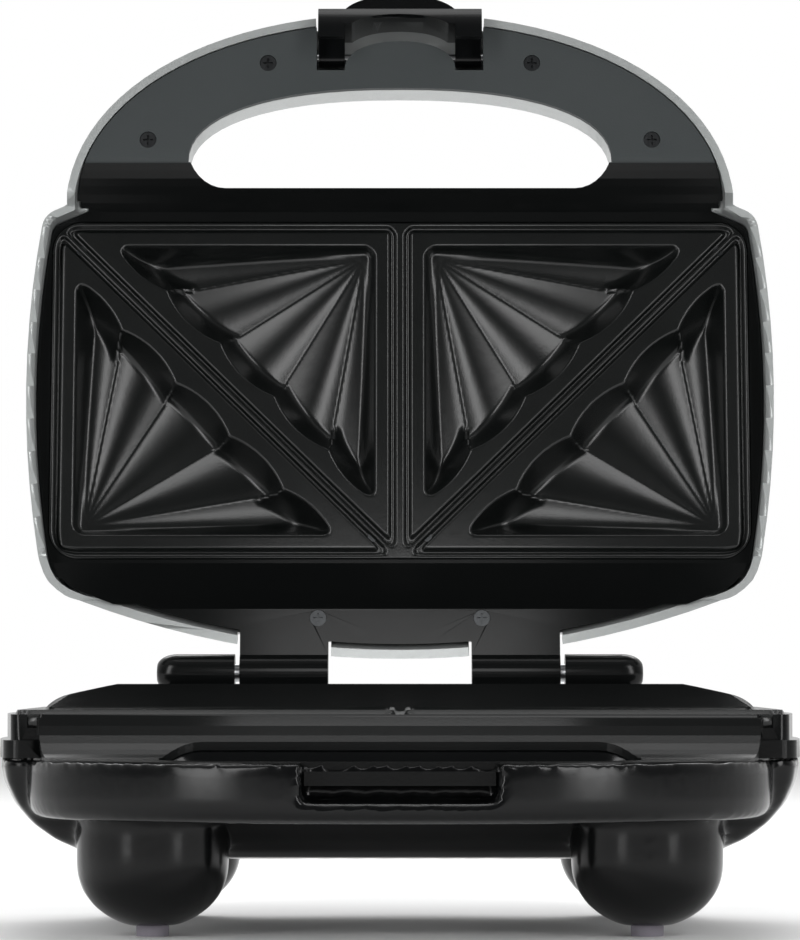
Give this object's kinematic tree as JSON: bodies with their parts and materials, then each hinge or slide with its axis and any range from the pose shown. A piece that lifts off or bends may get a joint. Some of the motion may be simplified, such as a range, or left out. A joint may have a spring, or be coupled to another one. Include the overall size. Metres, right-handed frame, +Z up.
{
  "type": "sandwich toaster",
  "caption": "Open electric sandwich toaster with silver lid, black base, fluted triangle-pocket plates, hinged lid and swinging front latch",
  "frame": {"origin": "middle of the footprint on the table, with the lid open as in the picture", "axes": "+Z up, -Y towards the handle side (front), +X to the right seen from the front"},
  "size_m": [0.247, 0.254, 0.3037],
  "materials": {
    "black_gloss": "glossy",
    "black_satin": "satin",
    "charcoal": "matte",
    "silver_paint": "metallic paint",
    "coated_plate": "non-stick coating",
    "steel": "satin",
    "black_steel": "blackened",
    "heater_tube": "heat-tinted",
    "shield_sheet": "rolled sheet",
    "ceramic_white": "matt",
    "lead_sleeve": "woven sleeve",
    "rubber_black": "matte",
    "rubber_grey": "matte",
    "lens_red": "clear tint",
    "lens_green": "clear tint"
  },
  "bodies": {
    "base": {"base_housing": "black_gloss", "base_frame": "black_satin", "hinge_pins": "steel", "lower_plate": "coated_plate", "lower_heating_element": "heater_tube", "lower_element_clamps": "steel", "lower_heat_shield": "shield_sheet", "lower_plate_screws": "steel", "thermostat": "ceramic_white", "thermal_fuse": "ceramic_white", "terminal_block": "ceramic_white", "base_leads": "lead_sleeve", "cord_gland": "rubber_black", "cord_clamp": "black_satin", "rubber_feet": "rubber_grey", "base_screws": "black_steel", "latch_catch": "black_satin"},
    "lid": {"lid_cover": "silver_paint", "lid_housing": "charcoal", "upper_plate": "coated_plate", "upper_heating_element": "heater_tube", "upper_element_clamps": "steel", "upper_heat_shield": "shield_sheet", "upper_plate_screws": "steel", "power_lens": "lens_red", "ready_lens": "lens_green", "lamp_holder": "charcoal", "lid_leads": "lead_sleeve", "lid_screws": "black_steel", "latch_pin": "steel"},
    "latch": {"latch": "black_gloss"}
  },
  "joints": [
    {"name": "lid_hinge", "type": "hinge", "parent": "base", "child": "lid", "pos_m": [0, 0.09078, 0.078], "axis": [1, 0, 0], "range_deg": [0, 98]},
    {"name": "latch_pivot", "type": "hinge", "parent": "lid", "child": "latch", "pos_m": [0, 0.10459, 0.28408], "axis": [1, 0, 0], "range_deg": [0, 20]}
  ]
}
